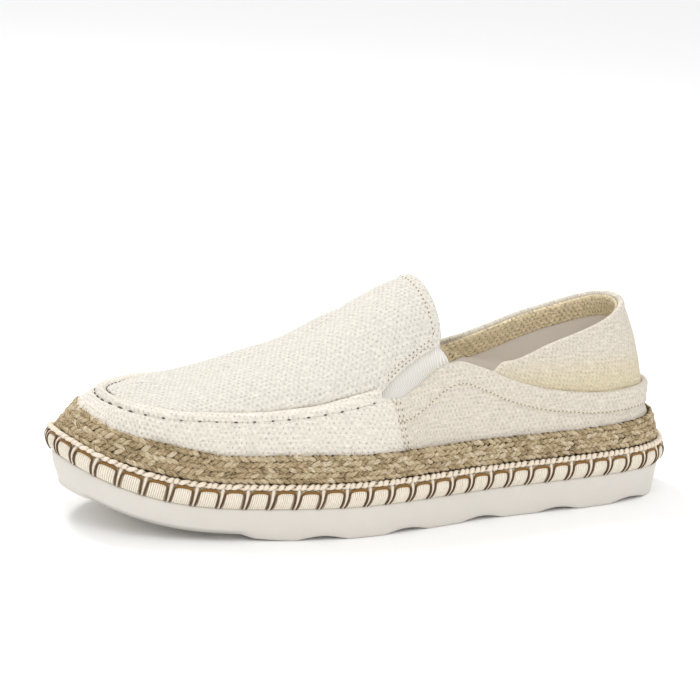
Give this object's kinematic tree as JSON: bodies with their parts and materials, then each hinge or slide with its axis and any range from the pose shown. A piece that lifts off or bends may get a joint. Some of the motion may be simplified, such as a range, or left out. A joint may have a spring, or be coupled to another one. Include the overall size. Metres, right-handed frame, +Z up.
{
  "type": "slip-on loafer",
  "caption": "Slip-on canvas loafer for the left foot: hollow upper with a moccasin apron, stretch gores and soft heel, over a braid, a wrapped midsole and a rubber sole.",
  "frame": {"origin": "middle of the footprint box, on the ground under the sole", "axes": "+X towards the toe, +Y towards the outer side of the left foot, +Z up"},
  "size_m": [0.296, 0.1054, 0.1045],
  "materials": {
    "sole_rubber": "matt moulded foam rubber",
    "cotton_wrap": "satin cotton yarn wrapped side by side",
    "insole_cloth": "smooth lining cloth",
    "jute": "plaited jute",
    "canvas": "slubby plain-weave canvas",
    "quarter_canvas": "slubby plain-weave canvas"
  },
  "bodies": {
    "root": {"outsole": "sole_rubber", "midsole": "cotton_wrap", "insole": "insole_cloth", "jute_braid": "jute", "upper": "canvas", "quarter": "quarter_canvas"}
  },
  "joints": []
}
